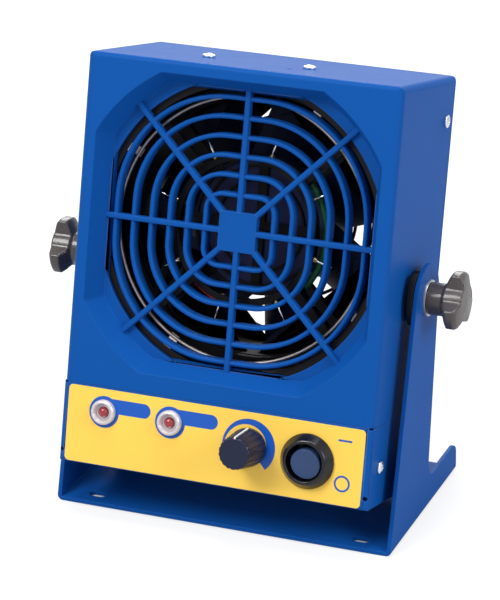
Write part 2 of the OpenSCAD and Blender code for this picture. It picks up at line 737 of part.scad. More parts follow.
// Blade: a thin curved strip, trimmed to the annulus between hub and bore.
module blade() intersection() {
    translate([0, 0, blade_mid - blade_d / 2]) tube(blade_d, fan_bore_r - 1.3, hub_r - 0.5);
    translate([hub_r / 2, 0, blade_mid]) rotate([blade_angle, 0, 0]) translate([0, 0, camber_r])
        rotate([0, 90, 0]) difference() {
            cylinder(h = fan_bore_r, r = camber_r + blade_t);
            translate([0, 0, -1]) cylinder(h = fan_bore_r + 2, r = camber_r);
            translate([-2 * camber_r, -60, -1]) cube([2.5 * camber_r, 120, fan_bore_r + 2]);
        }
}

module carrier_screws() color(steel) in_head() at_fan_holes(fan_y - 3)
    rotate([180, 0, 0]) pan_screw(m4_r, 7);

module fan_screws() color(steel) in_head() at_fan_holes(head_d + 2 * guard_wire_r)
    pan_screw(m4_r, 16);

module fan_nuts() color(steel) in_head() at_fan_holes(in_back - flange_t - 3.2)
    hex_nut(7, 3.2, m4_r);

// Wire finger guard: concentric rings on two crossed bars with screw loops.
module rear_guard() color([0.12, 0.12, 0.13]) in_head() {
    on_axis(head_d + 5.4) for (i = [0 : 5]) wire_ring(12 + i * 8.5, 0.8);
    on_axis(head_d + 3.9) for (a = [45, 135]) rotate([0, 0, a]) translate([-guard_reach, 0, 0])
        rotate([0, 90, 0]) cylinder(h = 2 * guard_reach, r = 0.9);
    on_axis(head_d) around(4, 45) {
        translate([guard_reach, 0, 0.2]) cylinder(h = 4.4, r = 0.85);
        translate([guard_reach - 0.7, 0, 0.9]) rotate([0, 90, 0])
            cylinder(h = fan_hole * sqrt(2) - 2.45 - guard_reach, r = 0.9);
        translate([fan_hole * sqrt(2), 0, guard_wire_r]) wire_ring(3.2, guard_wire_r);
    }
}

// ---------------------------------------------------------------- electronics

module balance_board() color(pcb) in_head() difference() {
    box_at([-36, 15.8, board_z], [27, 40, board_z + board_t]);
    for (x = top_screw_xs) translate([x, top_screw_y, board_z - 1]) cylinder(h = 4, r = m3_r);
}

module board_spacers() color(brass) in_head() for (x = top_screw_xs)
    translate([x, top_screw_y, board_z + board_t]) tube(head_h - wall - board_z - board_t, 3, m3_r);

module trimmer_body() color([0.1, 0.2, 0.5]) in_head()
    translate([trimmer_x, trimmer_y, board_z + board_t]) difference() {
        box_at([-3.3, -3.3, 0], [3.3, 3.3, 3.2]);
        translate([0, 0, 0.8]) cylinder(h = 5, r = 2.05);
    }

module trimmer_rotor() color(brass) in_head()
    translate([trimmer_x, trimmer_y, board_z + board_t + 1]) difference() {
        cylinder(h = 2.6, r = 2);
        translate([-1.6, -0.25, 1.8]) cube([3.2, 0.5, 2]);
    }

module main_board() color(pcb) in_head() difference() {
    box_at([-main_x, main_front, 7], [main_x, main_back, main_top]);
    board_holes() cylinder(h = 4, r = 1.5);
}

module board_holes() for (x = [4 - main_x, main_x - 4], y = [main_front + 3, main_back - 3])
    translate([x, y, 6]) children();

module board_standoffs() color(brass) in_head() board_holes()
    translate([0, 0, chassis_z - 6]) cylinder(h = 7 - chassis_z, r = 2.6);

module high_voltage_module() color([0.16, 0.16, 0.18]) in_head()
    box_at([8, main_front + 5, main_top], [main_x - 6, main_back - 1, module_top]);

// E-I core seen as a frame around the windings.
module transformer_core() color(steel) in_head() difference() {
    box_at([-60, 31, main_top], [-18, 49, 43]);
    for (x = [-54, -34]) box_at([x, 30, 14], [x + 10, 50, 37.6]);
}

module transformer_windings() color([0.75, 0.55, 0.2]) in_head() difference() {
    box_at([-54, 28, 14.2], [-24, 52, 37.4]);
    box_at([-44, 31, 14], [-34, 49, 38]);
}

module capacitors() color([0.12, 0.14, 0.3]) in_head()
    for (p = [[-6, 40, 6, 22], [0, 58, 5, 18], [-25, 60, 4, 11]])
        translate([p[0], p[1], main_top]) cylinder(h = p[3], r = p[2]);

// Appliance inlet with a chamfered socket, fixed in the rear cover.
module mains_inlet() color(black) in_head() difference() {
    union() {
        slab(head_d - 20, 20) translate([inlet_x, inlet_z]) inlet_2d();
        slab(head_d, 2.2) translate([inlet_x, inlet_z]) round_box_2d(31, 24, 2);
    }
    slab(head_d - 17, 30) translate([inlet_x, inlet_z]) difference() {
        square([24, 16.6], center = true);
        for (s = [-1, 1]) translate([s * 12, 8.3]) rotate([0, 0, 45]) square(5, center = true);
    }
    pin_blades();
}

module pin_blades() for (p = [[-7, -2], [0, 2], [7, -2]])
    translate([inlet_x + p[0] - 1, head_d - 24, inlet_z + p[1] - 2]) cube([2, 19, 4]);

module inlet_pins() color(chrome) in_head() pin_blades();

module fuse_holder() color(black) in_head() translate([fuse_x, 0, fuse_z]) rotate([-90, 0, 0]) difference() {
    union() {
        translate([0, 0, in_back - 24]) cylinder(h = 26, r = 6);
        translate([0, 0, head_d]) cylinder(h = 2, r = 8);
    }
    translate([0, 0, in_back - 22]) cylinder(h = 40, r = 4.4);
}

module fuse_cap() color([0.1, 0.1, 0.1]) in_head() translate([fuse_x, 0, fuse_z])
    rotate([-90, 0, 0]) difference() {
        union() {
            translate([0, 0, head_d - 8]) cylinder(h = 9, r = 4.3);
            translate([0, 0, head_d + 2]) cylinder(h = 4, r = 6.5);
            translate([0, 0, head_d]) cylinder(h = 3, r = 4.3);
        }
        translate([-5, -0.6, head_d + 4.8]) cube([10, 1.2, 4]);
    }

// ---------------------------------------------------------------- fasteners

module top_screws() color(chrome) in_head() for (x = top_screw_xs)
    translate([x, top_screw_y, head_h]) pan_screw(m3_r, head_h - board_z);

module side_screws() color(chrome) in_head() for (z = side_screw_zs)
    on_sides(half_w, side_screw_y, z) pan_screw(m3_r, 5);

module panel_screws() color(chrome) in_head()
    on_sides(half_w, panel_screw_y, panel_screw_z) pan_screw(m3_r, 5);

// ---------------------------------------------------------------- tilt clamps

// Stepped black spacers between head and arms, flat below.
module tilt_spacers() color(black) in_head() on_sides(half_w, head_pivot_d, head_pivot_h)
    difference() {
        gap = arm_in_x - half_w;
        union() {
            cylinder(h = gap, r = 11);
            translate([0, 0, gap / 2]) cylinder(h = gap / 2, r = 16.3);
        }
        translate([0, 0, -1]) cylinder(h = gap + 2, r = stud_r + 0.3);
        for (s = [-1, 1]) translate([s * 21 - 10, -20, -1]) cube([20, 40, gap + 2]);
    }

module pivot_nuts() color(steel) in_head() both_sides()
    translate([cheek_x, head_pivot_d, head_pivot_h]) rotate([0, -90, 0]) hex_nut(9, 5, stud_r + 0.05);

module on_right_pivot(x) translate([x, pivot_y, pivot_z]) rotate([0, 90, 0]) children();

// Die-cast knob on its stud: round hub, flare and a three-lobed grip.
module clamp_knob() on_right_pivot(clamp_x) {
    cylinder(h = 9, r = 7.2);
    intersection() {
        rotate([0, 0, 90]) linear_extrude(20) {
            circle(8.2);
            for (i = [0 : 2]) rotate([0, 0, 80 - i * 120]) box_2d(0, -lobe_w / 2, clamp_r, lobe_w / 2);
        }
        rotate_extrude() polygon([[0, 7], [7.2, 7], [clamp_r - 1.5, 9.3], [clamp_r, 10.3],
            [clamp_r, 14], [clamp_r - 1.2, 15.2], [8, 16.2], [0, 16.6]]);
    }
    translate([0, 0, -clamp_x + cheek_x - 6]) cylinder(h = clamp_x - cheek_x + 7, r = stud_r);
}

module clamp_knob_right() color([0.42, 0.4, 0.4]) clamp_knob();
module clamp_knob_left() color([0.42, 0.4, 0.4]) mirror([1, 0, 0]) clamp_knob();

module clamp_washer() on_right_pivot(stand_w / 2) tube(clamp_x - stand_w / 2, 8, stud_r + 0.05);

module clamp_washer_right() color(steel) clamp_washer();
module clamp_washer_left() color(steel) mirror([1, 0, 0]) clamp_washer();

// ---------------------------------------------------------------- nodes

stand();
front_cover();
rear_cover();
chassis();
control_panel();
panel_overlay();
lamp_bezels();
warning_lamps();
lamp_nuts();
potentiometer();
pot_nut();
switch_housing();
switch_terminals();
emitter_carrier();
emitter_needles();
needle_sockets();
earth_ring();
earth_clips();
high_voltage_lead();
sensing_lead();
fan_frame();
motor_plate();
fan_stator();
fan_coils();
fan_bearings();
fan_driver_board();
carrier_screws();
fan_screws();
fan_nuts();
rear_guard();
balance_board();
board_spacers();
trimmer_body();
main_board();
board_standoffs();
high_voltage_module();
transformer_core();
transformer_windings();
capacitors();
mains_inlet();
inlet_pins();
fuse_holder();
fuse_cap();
top_screws();
side_screws();
panel_screws();
tilt_spacers();
pivot_nuts();
fan_rotor();
fan_magnet();
fan_shaft();
flow_knob();
knob_pointer();
pot_shaft();
rocker();
trimmer_rotor();
clamp_knob_right();
clamp_knob_left();
clamp_washer_right();
clamp_washer_left();
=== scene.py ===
import json
import math

import bmesh
import bpy
from bpy.props import FloatProperty, FloatVectorProperty, IntProperty, PointerProperty
from mathutils import Matrix, Vector

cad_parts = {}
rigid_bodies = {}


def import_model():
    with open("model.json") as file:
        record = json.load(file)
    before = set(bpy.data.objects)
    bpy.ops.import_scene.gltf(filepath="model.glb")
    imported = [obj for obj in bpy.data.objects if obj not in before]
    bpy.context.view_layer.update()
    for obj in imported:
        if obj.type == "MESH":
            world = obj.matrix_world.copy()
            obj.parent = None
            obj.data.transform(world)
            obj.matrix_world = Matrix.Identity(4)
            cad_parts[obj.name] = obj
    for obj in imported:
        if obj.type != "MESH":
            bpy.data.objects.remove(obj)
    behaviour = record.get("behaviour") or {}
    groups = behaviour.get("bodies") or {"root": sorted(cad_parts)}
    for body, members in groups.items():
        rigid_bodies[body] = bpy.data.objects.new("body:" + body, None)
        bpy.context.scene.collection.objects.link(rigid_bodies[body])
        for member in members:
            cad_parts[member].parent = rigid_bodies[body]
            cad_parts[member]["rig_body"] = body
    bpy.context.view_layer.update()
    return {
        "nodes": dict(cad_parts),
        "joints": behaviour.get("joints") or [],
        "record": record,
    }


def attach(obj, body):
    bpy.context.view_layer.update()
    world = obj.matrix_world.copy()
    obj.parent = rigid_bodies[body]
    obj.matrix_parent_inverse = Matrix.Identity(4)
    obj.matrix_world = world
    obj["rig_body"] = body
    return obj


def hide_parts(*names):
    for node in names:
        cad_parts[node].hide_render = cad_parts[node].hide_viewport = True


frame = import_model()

bl_info = {
    "name": "Ionizing blower",
    "version": (1, 0, 0),
    "blender": (4, 5, 0),
    "location": "View3D > Sidebar > Blower",
    "description": "Dresses the packed ionizing blower and sets its studio",
    "category": "Add Mesh",
}

MM = 0.001
JOINTS = {joint["name"]: joint for joint in frame["joints"]}
PIVOT = Vector(JOINTS["head_tilt"]["pos_m"])
AIR_AXIS = Vector(JOINTS["fan_spin"]["axis"])
LEAN = math.atan2(-AIR_AXIS.z, AIR_AXIS.y)

# Places in head coordinates, in millimetres: across from the middle, back from the face
# and up from the bottom.
PIVOT_BACK, PIVOT_UP = 38.1, 89.2
LAMPS_ACROSS, LAMPS_UP = (-52.0, -20.5), 25.0
KNOB_ACROSS, KNOB_UP = 16.8, 20.0
SWITCH_ACROSS, SWITCH_UP = 44.2, 18.0
TOP_SCREWS_ACROSS, TOP_SCREWS_BACK = (-27, 20), 28
TRIMMER_ACROSS, TRIMMER_BACK = 14, 19.5
PANEL_BACK, PANEL_UP = 21, 36.2
# From head coordinates to the frame.
HEAD = (Matrix.Translation(PIVOT) @ Matrix.Rotation(-LEAN, 4, "X")
        @ Matrix.Translation((0, -PIVOT_BACK * MM, -PIVOT_UP * MM)))
TO_HEAD = HEAD.inverted()

# Turned outlines: radius and height above the panel, in millimetres.
BEZEL_RINGS = [(2.6, -6), (3.9, -6), (3.9, 0.27), (5.45, 0.27), (5.6, 0.45), (5.6, 1.5),
               (5.5, 2.1), (5.25, 2.6), (4.9, 2.95), (4.5, 3.08), (4.2, 3.0), (4.0, 2.7),
               (3.3, 1.3), (3.0, 0.95), (2.6, 0.9), (2.6, -6)]
LENS_RINGS = [(2.45, -6), (2.5, -5.9), (2.5, 0.4), (2.42, 1.0), (2.2, 1.6), (1.8, 2.12),
              (1.3, 2.45), (0.7, 2.64), (0.15, 2.7)]
ROCKER_RINGS = [(6.4, -4), (6.8, -3.8), (6.9, -3.5), (6.9, 5.4), (6.8, 5.8), (6.5, 6.05),
                (6.1, 6.0), (5.0, 5.75), (3.6, 5.52), (2.0, 5.4), (0.3, 5.36)]
ROCKER_SEAT = -3.0
ROCKER_SWING = math.radians(10)
ROCKER_PIN_R, ROCKER_PIN_LENGTH = 1.2, 17.6

DRUM_STEPS = 160
DRILL_DEPTH = 6


# ------------------------------------------------------------------ settings

def length(name, description, default, low=0.0, high=200.0):
    return FloatProperty(name=name, description=description, default=default * MM,
                         min=low * MM, max=high * MM, unit="LENGTH", precision=5)


def tint(name, description, default):
    return FloatVectorProperty(name=name, description=description, default=default,
                               size=3, min=0, max=1, subtype="COLOR")


class BlowerSizes(bpy.types.PropertyGroup):
    """Sizes of the dressed pieces, in head coordinates."""
    head_w: length("Head width", "Width of the head", 145)
    head_h: length("Head height", "Height of the head", 182.5)
    cover_d: length("Cover depth", "Depth of the front cover", 71)
    wall: length("Wall", "Wall thickness of the covers", 2)
    fan_h: length("Fan axis height", "Height of the fan axis above the bottom of the head", 110.7)
    recess_half: length("Recess half width", "Half width of the recess between its flats", 66)
    recess_r: length("Recess radius", "Radius of the recess at its corners", 75.7)
    recess_depth: length("Recess depth", "Depth of the recess floor", 11)
    recess_slope: FloatProperty(name="Recess slope", description="Inward slope of the recess wall",
                                default=0.45, min=0, max=1)
    opening_r: length("Opening radius", "Radius of the air opening", 66)
    ring_count: IntProperty(name="Rings", description="Number of grille rings",
                            default=6, min=4, max=6)
    ring_first: length("First ring", "Half the width of the smallest ring", 15.8)
    ring_pitch: length("Ring pitch", "Pitch of the rings", 8.4)
    ring_square: length("Ring square", "Half side of the square the rings follow", 8.4)
    ring_w: length("Ring width", "Width of the rings", 2)
    ring_d: length("Ring depth", "Depth of the rings", 5.5)
    spoke_w: length("Spoke width", "Width of the spokes", 2.4)
    grille_hub: length("Grille square", "Side of the square in the middle", 17.4)
    edge: length("Edge rounding", "Rounding of sheet and moulded edges", 0.35)


class BlowerColours(bpy.types.PropertyGroup):
    """Colours of the finishes."""
    blue: tint("Blue", "Enamel and mouldings", (0.005, 0.086, 0.365))
    yellow: tint("Yellow", "Panel overlay", (0.96, 0.62, 0.085))
    print_blue: tint("Print", "Printed areas of the overlay", (0.0, 0.085, 0.46))
    black: tint("Black", "Black mouldings", (0.004, 0.004, 0.007))
    navy: tint("Navy", "Rotor and flow knob", (0.007, 0.012, 0.042))
    motor: tint("Motor", "Motor plate", (0.026, 0.034, 0.11))
    rocker: tint("Rocker", "Power switch rocker", (0.035, 0.075, 0.19))
    lens: tint("Lens", "Warning lamps", (0.36, 0.006, 0.018))
    casting: tint("Casting", "Clamp knobs", (0.072, 0.060, 0.058))
    floor: tint("Floor", "Studio floor", (0.58, 0.58, 0.60))


# ------------------------------------------------------------------ finishes

class Value:
    """A socket that takes part in arithmetic: each operation adds its Math node."""

    def __init__(self, finish, socket):
        self.finish = finish
        self.socket = socket

    def maths(self, operation, *terms):
        return self.finish.node("ShaderNodeMath", {"operation": operation}, dict(enumerate(terms)))

    def __add__(self, other):
        return self.maths("ADD", self, other)

    def __radd__(self, other):
        return self.maths("ADD", other, self)

    def __sub__(self, other):
        return self.maths("SUBTRACT", self, other)

    def __rsub__(self, other):
        return self.maths("SUBTRACT", other, self)

    def __mul__(self, other):
        return self.maths("MULTIPLY", self, other)

    def __rmul__(self, other):
        return self.maths("MULTIPLY", other, self)

    def __pow__(self, other):
        return self.maths("POWER", self, other)

    def __abs__(self):
        return self.maths("ABSOLUTE", self)

    def most(self, other):
        return self.maths("MAXIMUM", self, other)

    def within(self, limit, blur=0.02):
        """1 where the value is below the limit, 0 above, over a short ramp."""
        return self.finish.node("ShaderNodeMapRange", {"clamp": True},
                                {"Value": self, "From Min": limit - blur, "From Max": limit + blur,
                                 "To Min": 1.0, "To Max": 0.0})


class Finish:
    """One procedural material and the patterns that it is built from."""

    def __init__(self, name, **constants):
        self.material = bpy.data.materials.new(name)
        self.material.use_nodes = True
        self.tree = self.material.node_tree
        self.tree.nodes.clear()
        self.surface = self.node("ShaderNodeBsdfPrincipled", {}, constants, "BSDF")
        self.principled = self.surface.socket.node
        output = self.tree.nodes.new("ShaderNodeOutputMaterial")
        self.tree.links.new(self.surface.socket, output.inputs["Surface"])
        self.place = self.node("ShaderNodeTexCoord", {}, {}, "Object")

    def node(self, kind, settings, sockets, output=0):
        """Adds a node: its settings first, then its sockets' values or links."""
        made = self.tree.nodes.new(kind)
        for key, value in settings.items():
            if key == "stops":
                ramp = made.color_ramp
                while len(ramp.elements) < len(value):
                    ramp.elements.new(0.5)
                for element, (at, colour) in zip(ramp.elements, value):
                    element.position, element.color = at, colour
            else:
                setattr(made, key, value)
        for key, value in sockets.items():
            if isinstance(value, Value):
                self.tree.links.new(value.socket, made.inputs[key])
            else:
                made.inputs[key].default_value = value
        return Value(self, made.outputs[output])

    def feed(self, **sockets):
        for key, value in sockets.items():
            self.tree.links.new(value.socket, self.principled.inputs[key.replace("_", " ")])

    def noise(self, size, detail=2.0, roughness=0.5, place=None):
        """Soft noise from 0 to 1 with grains of that size in millimetres."""
        return self.node("ShaderNodeTexNoise", {},
                         {"Vector": place or self.place, "Scale": 1 / (size * MM),
                          "Detail": detail, "Roughness": roughness}, "Fac")

    def between(self, factor, a, b):
        """A colour mixed from a to b."""
        return self.node("ShaderNodeMix", {"data_type": "RGBA"},
                         {0: factor, 6: rgba(a), 7: rgba(b)}, 2)

    def edges(self, radius):
        """1 on sharp edges, fading to 0 on faces."""
        rounded = self.node("ShaderNodeBevel", {"samples": 4}, {"Radius": radius * MM})
        true = self.node("ShaderNodeNewGeometry", {}, {}, "Normal")
        facing = self.node("ShaderNodeVectorMath", {"operation": "DOT_PRODUCT"},
                           {0: rounded, 1: true}, "Value")
        return self.node("ShaderNodeMapRange", {},
                         {"Value": facing, "From Min": 0.99, "From Max": 0.8,
                          "To Min": 0.0, "To Max": 1.0})

    def relief(self, height, depth):
        """Turns a height from 0 to 1 into a bump of that depth in millimetres."""
        self.feed(Normal=self.node("ShaderNodeBump", {},
                                   {"Strength": 1.0, "Distance": depth * MM,
                                    "Height": height}, "Normal"))

    def in_head(self):
        """Object place turned back into upright head coordinates, in millimetres."""
        turned = self.node("ShaderNodeMapping", {"vector_type": "POINT"},
                           {"Vector": self.place, "Location": TO_HEAD.translation / MM,
                            "Rotation": TO_HEAD.to_euler(), "Scale": (1 / MM,) * 3})
        parts = self.node("ShaderNodeSeparateXYZ", {}, {"Vector": turned})
        sockets = parts.socket.node.outputs
        return [Value(self, sockets[axis]) for axis in "XYZ"]


def rgba(colour):
    return colour if isinstance(colour, Value) or len(colour) == 4 else (*colour, 1.0)


def shade(colour, factor):
    return tuple(min(1.0, c * factor) for c in colour)


def plain_finish(name, colour, roughness=0.45, grain=0.6, depth=0.03, mottling=0.12,
                 edge_wear_and_highlight=0.15, spread=0.1, **constants):
    """A moulded, cast or coated surface: fine grain, faint mottling and lighter edges, partly wear
    and partly painted highlight.
    """
    made = Finish(name, **{key.replace("_", " "): value for key, value in constants.items()})
    broad = made.noise(22, 3)
    fine = made.noise(grain, 2)
    tone = made.between(broad * mottling * 2,
                        shade(colour, 1 - mottling), shade(colour, 1 + mottling))
    # The edges are lightened in the base colour: partly wear, partly a painted highlight where
    # rounded edges catch the light.
    if edge_wear_and_highlight:
        light = tuple(c + (1 - c) * 0.25 for c in colour)
        tone = made.between(made.edges(0.35) * (edge_wear_and_highlight * (0.4 + broad)), tone, light)
    made.feed(Base_Color=tone,
              Roughness=roughness - spread / 2 + broad * spread * 0.6 + fine * spread * 0.4)
    made.relief(fine, depth)
    return made.material


def metal_finish(name, colour, roughness=0.25, grain=0.5, depth=0.008, streak=(1, 1, 1)):
    """A bare or plated metal with faint brushing and cloudy reflections."""
    made = Finish(name, Metallic=1.0)
    drawn = made.node("ShaderNodeMapping", {}, {"Vector": made.place, "Scale": streak})
    scratch = made.noise(grain, 3, 0.6, drawn)
    cloud = made.noise(6, 2)
    made.feed(Base_Color=made.between(cloud, shade(colour, 0.92), shade(colour, 1.04)),
              Roughness=roughness * 0.8 + scratch * roughness * 0.25 + cloud * roughness * 0.2)
    made.relief(scratch, depth)
    return made.material


def wound_finish(name, colour):
    """Enamelled wire laid in close turns."""
    made = Finish(name, Metallic=0.85, Roughness=0.32)
    turns = made.node("ShaderNodeTexWave", {"bands_direction": "Z"},
                      {"Vector": made.place, "Scale": 330.0, "Distortion": 0.4})
    # The colour is darker in the grooves between the turns: painted shade.
    made.feed(Base_Color=made.between(turns, shade(colour, 0.45), colour))
    made.relief(turns, 0.12)
    return made.material


def board_finish(name):
    """Green solder mask over faintly raised tracks."""
    made = Finish(name)
    tracks = made.node("ShaderNodeTexBrick", {"offset": 0.37},
                       {"Vector": made.place, "Scale": 160.0, "Mortar Size": 0.06})
    mask = made.node("ShaderNodeRGBToBW", {}, {"Color": tracks})
    speck = made.noise(0.8)
    made.feed(Base_Color=made.between(mask, (0.004, 0.055, 0.022), (0.012, 0.13, 0.055)),
              Roughness=0.25 + speck * 0.2)
    made.relief(mask, 0.05)
    return made.material


def overlay_finish(name, colours):
    """Printed overlay: lamp pads with tabs, the knob's growing band and the switch marks."""
    made = Finish(name)
    x, _, z = made.in_head()

    def disc(cx, cz, r):
        across, up = x - cx, z - cz
        return ((across * across + up * up) ** 0.5).within(r, 0.06)

    def bar(x0, x1, z0, z1, r):
        """A bar with ends rounded by r."""
        across = (abs(x - (x0 + x1) / 2) - ((x1 - x0) / 2 - r)).most(0.0)
        up = (abs(z - (z0 + z1) / 2) - ((z1 - z0) / 2 - r)).most(0.0)
        return ((across * across + up * up) ** 0.5).within(r, 0.06)

    ink = None
    for cx, tab in zip(LAMPS_ACROSS, (22.0, 22.3)):
        pad = disc(cx, LAMPS_UP, 7.1).most(bar(cx - 3, cx + tab, 24.8, 31.3, 3.2))
        ink = pad if ink is None else ink.most(pad)
    across, up = x - KNOB_ACROSS, z - KNOB_UP
    reach = (across * across + up * up) ** 0.5
    turn = across.maths("ARCTAN2", across, up) * (180 / math.pi)
    band_r, band_growth, band_end = 12.3, 5.2, 137.0
    inner = band_r - (turn + band_end) * (band_growth / (2 * band_end))
    band = (reach.within(band_r, 0.06) * (inner - reach).within(0.0, 0.06)
            * abs(turn).within(band_end, 0.5))
    off_mark = disc(60.6, 10.5, 3.65) - disc(60.6, 10.5, 2.75)
    on_mark = bar(57.4, 63.7, 28.85, 29.75, 0.2)
    ink = ink.most(band).most(off_mark).most(on_mark)
    weave = made.noise(0.5, 2)
    cloud = made.noise(26, 3)
    sheet = made.between(cloud, shade(colours.yellow, 0.96), shade(colours.yellow, 1.03))
    made.feed(Base_Color=made.between(ink, sheet, colours.print_blue),
              Roughness=0.36 + weave * 0.12 - ink * 0.06)
    made.relief(weave * 0.5 + ink * 0.5, 0.02)
    return made.material


def make_finishes():
    c = bpy.context.scene.blower_colours
    return {
        "blue_paint": plain_finish("blue enamel", c.blue, 0.42, 0.9, 0.02, 0.05, 0.22,
                                   Specular_IOR_Level=0.05),
        "blue_plastic": plain_finish("blue moulding", c.blue, 0.45, 0.7, 0.03, 0.05, 0.22,
                                     Specular_IOR_Level=0.06),
        "yellow_overlay": overlay_finish("printed overlay", c),
        "black_plastic": plain_finish("black moulding", c.black, 0.5, 0.6, 0.02, 0.15, 0.05,
                                      Specular_IOR_Level=0.2),
        "bezel_black": plain_finish("glossy bezel", c.black, 0.16, 0.6, 0.008, 0.15, 0.05),
        "navy_plastic": plain_finish("navy moulding", c.navy, 0.36, 0.5, 0.012, 0.12, 0.08,
                                     Specular_IOR_Level=0.35),
        "rotor_navy": plain_finish("rotor moulding", c.navy, 0.5, 0.5, 0.012, 0.12, 0.05,
                                   Specular_IOR_Level=0.15),
        "motor_paint": plain_finish("motor enamel", c.motor, 0.45, 0.8, 0.02, 0.1, 0.08,
                                    Specular_IOR_Level=0.2),
        "rocker_plastic": plain_finish("rocker", c.rocker, 0.3, 0.6, 0.006, 0.08, 0.1,
                                       Specular_IOR_Level=0.3),
        "dull_plate": metal_finish("dull tinned wire", (0.42, 0.38, 0.36), 0.5, 0.4, 0.02),
        "satin_plate": plain_finish("satin plating", (0.70, 0.68, 0.71), 0.28, 0.5, 0.006, 0.05,
                                    0.2, Metallic=0.35),
        "white_plastic": plain_finish("white insert", (0.88, 0.88, 0.88), 0.4, 0.5, 0.01, 0.03, 0),
        "lens_red": plain_finish("red lens", c.lens, 0.12, 0.8, 0.01, 0.25, 0, Coat_Weight=1.0),
        "chrome": metal_finish("bright plating", (0.9, 0.91, 0.93), 0.16),
        "steel": metal_finish("zinc plated steel", (0.62, 0.63, 0.64), 0.34, 0.4, 0.015,
                              (1, 1, 0.2)),
        "guard_wire": plain_finish("coated wire", (0.012, 0.012, 0.014), 0.35, 0.7, 0.02, 0.1, 0),
        "magnet": plain_finish("ferrite", (0.05, 0.05, 0.055), 0.6, 0.4, 0.03, 0.2, 0),
        "brass": metal_finish("brass", (0.80, 0.58, 0.26), 0.28),
        "copper": wound_finish("enamelled wire", (0.72, 0.32, 0.13)),
        "board": board_finish("circuit board"),
        "trimmer_blue": plain_finish("trimmer case", (0.01, 0.06, 0.35), 0.3, 0.5, 0.01, 0.1, 0.1),
        "green_wire": plain_finish("green sleeve", (0.012, 0.17, 0.06), 0.5, 0.9, 0.02, 0.15, 0),
        "red_wire": plain_finish("red sleeve", (0.55, 0.02, 0.02), 0.45, 0.9, 0.02, 0.1, 0),
        "knob_casting": plain_finish("knob casting", c.casting, 0.27, 0.8, 0.06, 0.25, 0.35,
                                     Coat_Weight=0.2),
    }


FINISHES = {}
SLOT_OF = {row["node"]: row["material_slot"] for row in frame["record"]["subparts"]}


def finish_for(slot):
    if not FINISHES:
        FINISHES.update(make_finishes())
    return FINISHES[slot]


# ------------------------------------------------------------------ modelling

def take(piece):
    """Makes a piece the only selected one."""
    clear_selection()
    piece.select_set(True)
    bpy.context.view_layer.objects.active = piece
    return piece


def named(name):
    """The primitive just added, with its place and size taken into its mesh."""
    piece = bpy.context.active_object
    piece.name = piece.data.name = name
    take(piece)
    bpy.ops.object.transform_apply(location=True, rotation=True, scale=True)
    return piece


def clear_selection():
    """Leaves edit mode and deselects everything."""
    if bpy.context.object and bpy.context.object.mode != "OBJECT":
        bpy.ops.object.mode_set(mode="OBJECT")
    bpy.ops.object.select_all(action="DESELECT")


def pick(piece, kind, test):
    """Enters edit mode and selects the faces, edges or vertices that pass the test."""
    take(piece)
    bpy.ops.object.mode_set(mode="EDIT")
    bpy.ops.mesh.select_mode(type=kind)
    bpy.ops.mesh.select_all(action="DESELECT")
    mesh = bmesh.from_edit_mesh(piece.data)
    if kind == "FACE":
        for face in mesh.faces:
            face.select_set(bool(test(face.calc_center_median(), face.normal)))
    elif kind == "EDGE":
        for edge in mesh.edges:
            a, b = (v.co for v in edge.verts)
            edge.select_set(bool(test((a + b) / 2, (b - a).normalized())))
    else:
        for vertex in mesh.verts:
            vertex.select_set(bool(test(vertex.co, vertex.normal)))
    mesh.select_flush_mode()
    bmesh.update_edit_mesh(piece.data)


def leave():
    """Goes back to object mode."""
    bpy.ops.object.mode_set(mode="OBJECT")


def block(name, low, high):
    """A box between two corners, in millimetres."""
    clear_selection()
    low, high = Vector(low) * MM, Vector(high) * MM
    bpy.ops.mesh.primitive_cube_add(size=1, location=(low + high) / 2, scale=high - low)
    return named(name)


def drum(name, r0, r1, y0, y1, centre):
    """A cylinder or cone along the air axis between two depths, in metres."""
    clear_selection()
    bpy.ops.mesh.primitive_cone_add(vertices=DRUM_STEPS, radius1=r0, radius2=r1, depth=y1 - y0,
                                    location=(centre[0], (y0 + y1) / 2, centre[1]),
                                    rotation=(-math.pi / 2, 0, 0))
    return named(name)


def round_edges(piece, width, segments, test):
    """Bevels the edges that pass the test."""
    pick(piece, "EDGE", test)
    bpy.ops.mesh.bevel(offset=width, segments=segments, affect="EDGES", clamp_overlap=True)
    leave()


def modify(piece, kind, **settings):
    """Adds a modifier and applies it."""
    take(piece)
    made = piece.modifiers.new(kind.lower(), kind)
    for key, value in settings.items():
        setattr(made, key, value)
    bpy.ops.object.modifier_apply(modifier=made.name)
    return piece


def combine(piece, tool, operation):
    """Cuts, adds or keeps the part in common with a tool, which is then removed."""
    modify(piece, "BOOLEAN", operation=operation, solver="EXACT", object=tool)
    bpy.data.objects.remove(tool)
    return piece


def soften(piece, width, segments=2):
    """Rounds all edges sharper than 30 degrees and smooths the shading."""
    take(piece)
    bpy.ops.object.mode_set(mode="EDIT")
    bpy.ops.mesh.select_all(action="SELECT")
    bpy.ops.mesh.remove_doubles(threshold=2e-6)
    bpy.ops.mesh.dissolve_limited(angle_limit=math.radians(0.6))
    leave()
    if width:
        modify(piece, "BEVEL", width=width, segments=segments, limit_method="ANGLE",
               angle_limit=math.radians(30), use_clamp_overlap=False)
    take(piece)
    bpy.ops.object.shade_smooth_by_angle(angle=math.radians(32))
    if width:
        modify(piece, "WEIGHTED_NORMAL", keep_sharp=True, weight=100)
    return piece


def join(name, pieces):
    """Joins pieces into the first one."""
    take(pieces[0])
    for piece in pieces:
        piece.select_set(True)
    bpy.ops.object.join()
    pieces[0].name = pieces[0].data.name = name
    return pieces[0]


def place(piece, body, *nodes, lean=False, finish=None):
    """Sets a finished piece on its body in the place of its CAD nodes. A piece drawn in
    head coordinates leans with the head."""
    if lean:
        settle(piece, HEAD)
    slot = SLOT_OF[nodes[0]]
    piece.data.materials.clear()
    piece.data.materials.append(finish_for(finish or slot))
    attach(piece, body)
    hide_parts(*nodes)
    return piece


